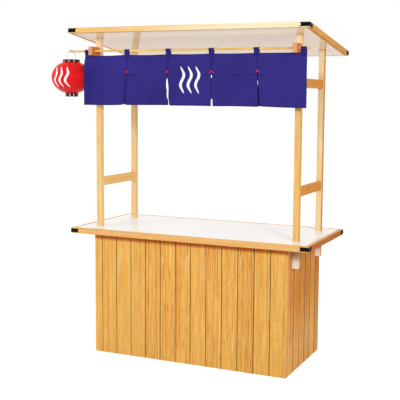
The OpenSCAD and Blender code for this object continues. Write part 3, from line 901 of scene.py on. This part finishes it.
def build_loop(shape, middle):
    """A strap from the cloth's front up over the pole and down to its back."""
    radius = POLE_RADIUS + STRAP_LIFT
    away = CLOTH_THICK / 2 + STRAP_THICK
    points = []
    for column in range(LOOP_COLUMNS + 1):
        share = column / LOOP_COLUMNS
        sway = STRAP_SWAY * math.sin(7 * share + 40 * middle)
        x = middle + (share - 0.5) * LOOP_WIDTH * STRAP_SHARE
        inner_x = min(max(x, cloth_low.x + CLOTH_MARGIN), cloth_high.x - CLOTH_MARGIN)
        laps = [at_flat(inner_x, drop, STRAP_THICK) for drop in LAP_DROPS]
        leave = Vector((x, pole_middle.y, cloth_top + LEAVE_RISE))
        outward = Vector((0, away + LEAVE_OUT, 0))
        points += laps + [leave - outward]
        for step in range(LOOP_STEPS + 1):
            angle = math.pi * (1 - step / LOOP_STEPS)
            y = pole_middle.y + sway + radius * math.cos(angle)
            points.append(Vector((x, y, pole_middle.z + radius * math.sin(angle))))
        points.append(leave + outward)
        points += [lap + Vector((0, 2 * away, 0)) for lap in reversed(laps)]
    shape.take(points, grid_faces(np.arange(len(points)).reshape(LOOP_COLUMNS + 1, -1)))


loops_shape = Shape()
for place in loop_places:
    build_loop(loops_shape, place)
loops = loops_shape.piece("curtain_loops", indigo_cloth("indigo_loops", LOOP_SHADE), "indigo_cloth")
thicken(loops, STRAP_THICK)

# Stitches: pitch, radius and lift off the cloth, and distances of the rows from the edges
STITCH_PITCH = 7 * MM
STITCH_RADIUS = 0.35 * MM
STITCH_LIFT = 0.15 * MM
STITCH_SHARES = (0.2, 0.5, 0.8)
TOP_ROW = 7 * MM
HEM_ROW = 11 * MM
SIDE_ROW = 6 * MM
SIDE_ROW_START = 8 * MM
INDIGO_THREAD = (0.07, 0.055, 0.30)


def stitch_row(shape, panel, start, end):
    """Running stitches from one (share across, drop) to another."""
    first = on_cloth(panel, *start, 0.0)
    last = on_cloth(panel, *end, 0.0)
    count = max(1, round((last - first).length / STITCH_PITCH))
    for i in range(count):
        path = []
        for part in STITCH_SHARES:
            share = (i + part) / count
            across = start[0] + (end[0] - start[0]) * share
            drop = start[1] + (end[1] - start[1]) * share
            path.append(on_cloth(panel, across, drop, STITCH_LIFT))
        shape.take(*tube(path, STITCH_RADIUS, 5))


stitches_shape = Shape()
margin = SIDE_ROW / loop_pitch
hem_row = CLOTH_DROP - HEM_ROW
for panel in range(PANELS):
    stitch_row(stitches_shape, panel, (0.0, TOP_ROW), (1.0, TOP_ROW))
    stitch_row(stitches_shape, panel, (margin, hem_row), (1 - margin, hem_row))
    for across, outer_panel in ((margin, 0), (1 - margin, PANELS - 1)):
        side_start = (0.0 if panel == outer_panel else SLIT_START) + SIDE_ROW_START
        stitch_row(stitches_shape, panel, (across, side_start), (across, hem_row))
stitches = stitches_shape.piece("curtain_stitches", thread("indigo_thread", INDIGO_THREAD), "indigo_cloth")

# Red tack over each slit's head: width, height and drop below the head in mm, and number of strands.
# Two strands make an open pair, and more of them fill the tack.
TACKS = [(18, 13, 0, 2), (11, 12, 0, 4), (29, 14, 0.5, 2), (17, 16, -5.5, 5)]
STRAND_STEP = 3.4
STRAND_RADIUS = 1.9 * MM
STRAND_LIFT = 1.4 * MM
STRAND_START = 0.2 * MM
RED_THREAD = (0.72, 0.02, 0.025)


def build_tack(shape, middle, width, height, drop, strands):
    """Strands that fall to both sides from a peak."""
    filled = strands > 2
    for strand in range(strands):
        done = strand / strands
        peak = drop + (done * height if filled else STRAND_STEP * strand)
        foot = drop + (height if filled else height + STRAND_STEP * strand)
        half = width / 2 * (1 - done if filled else 1)
        for side in (-1, 1):
            path = []
            for share in np.linspace(0.0, 1.0, 6):
                x = middle + side * (STRAND_START + half * share * MM)
                fall = SLIT_START + (peak + (foot - peak) * share) * MM
                path.append(at_flat(x, fall, STRAND_LIFT))
            shape.take(*tube(path, STRAND_RADIUS, 6))


tacks_shape = Shape()
for middle, tack in zip(slit_places, TACKS):
    build_tack(tacks_shape, middle, *tack)
tacks = tacks_shape.piece("curtain_tacks", thread("red_thread", RED_THREAD), "indigo_cloth")


# Lantern: ribbed paper between its two rings

RIBS = 18
RIB_STEPS = 6
PAPER_SIDES = 96
PAPER_THICK = 0.8 * MM
RIB_SAG = 1.6 * MM
PAPER_MARK_SIZE = 66 * MM


def lantern_profile():
    """(radius, height) from the foot to the mouth, with the paper drawn in between its hoops."""
    steps = RIBS * RIB_STEPS
    profile = []
    for i in range(steps + 1):
        height = lantern_low.z + (lantern_high.z - lantern_low.z) * i / steps - lantern_oval_z
        radius = LANTERN_RADIUS * math.sqrt(1 - (height / LANTERN_HALF) ** 2)
        profile.append((radius - RIB_SAG * abs(math.sin(math.pi * i / RIB_STEPS)), height))
    return profile


outer = lantern_profile()
inner = [(radius - PAPER_THICK, height) for radius, height in reversed(outer)]
lantern_centre = Vector((lantern_middle.x, lantern_middle.y, lantern_oval_z))
paper_shape = Shape()
paper_shape.take(*turned(outer + inner + outer[:1], PAPER_SIDES), Matrix.Translation(lantern_centre))
paper_finish = red_paper("red_paper", (lantern_middle.x, lantern_oval_z, PAPER_MARK_SIZE))
paper_shape.piece("lantern_paper", paper_finish, "red_paper", stands_for=("lantern_body",))


# Bamboo pole with swollen nodes and hollow ends

NODE_PITCH = 236 * MM
POLE_SIDES = 28
# Hollow end: bore and depth, rise of its floor, and the eased edges of bore and end
POLE_BORE = 4.2 * MM
BORE_DEPTH = 30 * MM
BORE_RISE = 1 * MM
BORE_EASE = 0.4 * MM
END_EASE = 0.6 * MM
END_STEP = 0.1 * MM
# A node as (place along the pole, rise above the thinnest part) in mm, and how far that part is drawn in
NODE_SWELL = [(-60, 0.0), (-20, 0.1), (-5, 0.35), (-2, 0.75), (-0.7, 0.65), (0, 0.1),
              (0.8, 0.5), (2.5, 0.8), (6, 0.4), (20, 0.1), (60, 0.0)]
NODE_WAIST = 0.5 * MM
# Length kept clear of nodes
NODE_MARGIN = 10 * MM
pole_length = pole_high.x - pole_low.x
node_count = int((pole_length - NODE_MARGIN) / NODE_PITCH)
first_node = (pole_length - (node_count - 1) * NODE_PITCH) / 2


def pole_profile():
    """(radius, place along the pole) from the floor of one bore to that of the other."""
    start = [(0, BORE_DEPTH), (POLE_BORE, BORE_DEPTH - BORE_RISE), (POLE_BORE, BORE_EASE),
             (POLE_BORE + BORE_EASE, 0), (POLE_RADIUS - END_EASE, 0), (POLE_RADIUS - END_STEP, END_EASE)]
    end = [(radius, pole_length - place) for radius, place in reversed(start)]
    swells = []
    for number in range(node_count):
        middle = first_node + number * NODE_PITCH
        swells += [(POLE_RADIUS - NODE_WAIST + rise * MM, middle + off * MM) for off, rise in NODE_SWELL]
    return start + swells + end


pole_shape = Shape()
along_x = Matrix.Rotation(math.pi / 2, 4, "Y")
pole_place = Matrix.Translation((pole_low.x, pole_middle.y, pole_middle.z)) @ along_x
pole_shape.take(*turned(pole_profile(), POLE_SIDES), pole_place)
pole_finish = bamboo("bamboo", pole_low.x + first_node, NODE_PITCH)
pole_shape.piece("bamboo_pole", pole_finish, "bamboo", stands_for=("curtain_pole",))


# Screws

BRACKET_SCREW = 2.6 * MM
TAIL_SCREW = 3.2 * MM
# How far bracket screws lie from their corner, and tail screws under the counter and behind the post's front
BRACKET_REACHES = (16 * MM, 40 * MM)
TAIL_DROPS = (31 * MM, 71 * MM)
TAIL_INSET = 11 * MM
ROOF_SLOPE = math.radians(8.2)
# Shape of a head, in shares of its radius
HEAD_RISE = 0.52
HEAD_ROUNDNESS = 2.6
RECESS_REACH = 0.62
RECESS_HALF = 0.15
RECESS_DEPTH = 0.28


def screw_head(shape, place, outward, radius):
    """A pan head with a cross recess, its underside on `place`."""
    count, levels = 32, 9
    points = [(0, 0, (HEAD_RISE - RECESS_DEPTH) * radius)]
    rings = [[0] * count]
    for level in range(1, levels + 1):
        share = level / levels
        rings.append(range(len(points), len(points) + count))
        rise = HEAD_RISE * radius * math.sqrt(max(0.0, 1 - share ** HEAD_ROUNDNESS))
        for x, y in circle(radius * share, count):
            recessed = share < RECESS_REACH and min(abs(x), abs(y)) < RECESS_HALF * radius
            points.append((x, y, rise - RECESS_DEPTH * radius if recessed else rise))
    faces = ring_faces(rings) + [tuple(reversed(rings[-1]))]
    turn = Vector((0, 0, 1)).rotation_difference(outward).to_matrix().to_4x4()
    shape.take(points, faces, Matrix.Translation(place) @ turn)


for top, slope in (("counter", 0.0), ("roof", ROOF_SLOPE)):
    heads = Shape()
    for corner in CORNERS:
        low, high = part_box(f"{top}_bracket_{corner}")
        on_right = corner.endswith("right")
        behind = corner.startswith("back")
        tip = Vector((high.x if on_right else low.x, high.y if behind else low.y, (low.z + high.z) / 2))
        out_x = Vector((1 if on_right else -1, 0, 0))
        out_y = Vector((0, 1, -math.tan(slope))) * (1 if behind else -1)
        for reach in BRACKET_REACHES:
            screw_head(heads, tip - out_x * reach, out_y.normalized(), BRACKET_SCREW)
            screw_head(heads, tip - out_y * reach, out_x, BRACKET_SCREW)
    heads.piece(f"{top}_bracket_screws", bracket_paint, "black_metal")

tail_heads = Shape()
for corner in CORNERS:
    low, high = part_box(f"{corner}_post")
    on_right = corner.endswith("right")
    face = high.x if on_right else low.x
    for drop in TAIL_DROPS:
        place = Vector((face, low.y + TAIL_INSET, counter_under - drop))
        screw_head(tail_heads, place, Vector((1 if on_right else -1, 0, 0)), TAIL_SCREW)
tail_heads.piece("post_tail_screws", bracket_paint, "black_metal")


# Stage: white floor and surround, soft light

SURROUND_LIGHT = 0.64
FLOOR_HALF = 60.0
FLOOR_GREY = (0.70, 0.70, 0.70)
FLOOR_GLOW = 0.60
LIGHT_TARGET = Vector((0.0, 0.2, 1.2))
# Name, place, width and power of each soft light
LIGHTS = [
    ("left_light", (-3.0, -3.2, 2.75), 0.9, 71),
    ("right_light", (3.6, -3.3, 2.75), 0.9, 102),
    ("back_light", (-1.5, 4.5, 2.6), 2.4, 80),
]


def bright_for_sight(made, level, dim):
    """A value: `level` for what is seen directly or in a gloss, `dim` for what lights the part."""
    path = made.node("ShaderNodeLightPath").outputs
    mirrored = made.larger(path["Is Glossy Ray"], path["Is Transmission Ray"])
    return made.span(made.larger(path["Is Camera Ray"], mirrored), dim, level)


world = bpy.data.worlds.new("surround")
bpy.context.scene.world = world
world.use_nodes = True
surround = Graph(world.node_tree)
sky = world.node_tree.nodes["Background"]
surround.put(WHITE, sky.inputs["Color"])
surround.put(bright_for_sight(surround, 1.0, SURROUND_LIGHT), sky.inputs["Strength"])

floor_finish = Finish("floor_white", 0.9, 0.0)
floor_finish.set("Base Color", FLOOR_GREY)
floor_finish.set("Emission Color", WHITE)
floor_finish.set("Emission Strength", bright_for_sight(floor_finish, FLOOR_GLOW, 0.0))
floor_mesh = bpy.data.meshes.new("floor")
floor_corners = [(x * FLOOR_HALF, y * FLOOR_HALF, 0) for x, y in ((-1, -1), (1, -1), (1, 1), (-1, 1))]
floor_mesh.from_pydata(floor_corners, [], [(0, 1, 2, 3)])
floor_mesh.materials.append(floor_finish.material)
floor = bpy.data.objects.new("floor", floor_mesh)
bpy.context.scene.collection.objects.link(floor)

for name, place, size, power in LIGHTS:
    data = bpy.data.lights.new(name, "AREA")
    data.shape = "DISK"
    data.size = size
    data.energy = power
    lamp = bpy.data.objects.new(name, data)
    lamp.location = place
    lamp.rotation_euler = (LIGHT_TARGET - Vector(place)).to_track_quat("-Z", "Y").to_euler()
    lamp.visible_camera = False
    lamp.visible_glossy = False
    bpy.context.scene.collection.objects.link(lamp)


# Camera: fitted to the stall's edges. Yaw is to the right of the Y axis, and pitch is downward.

CAMERA_PLACE = Vector((2.2912, -4.7267, 1.7082))
YAW, PITCH, ROLL = -0.4096, 0.1058, -0.0094
SENSOR, LENS = 36.0, 75.46
SHIFT_X, SHIFT_Y = -0.0552, -0.0344
camera_data = bpy.data.cameras.new("camera")
camera_data.sensor_width = SENSOR
camera_data.lens = LENS
camera_data.shift_x = SHIFT_X
camera_data.shift_y = SHIFT_Y
camera = bpy.data.objects.new("camera", camera_data)
camera_pose = Matrix.Translation(CAMERA_PLACE)
for angle, axis in ((-YAW, "Z"), (math.pi / 2 - PITCH, "X"), (-ROLL, "Z")):
    camera_pose = camera_pose @ Matrix.Rotation(angle, 4, axis)
camera.matrix_world = camera_pose
bpy.context.scene.collection.objects.link(camera)
bpy.context.scene.camera = camera
bpy.context.scene.view_settings.view_transform = "Standard"
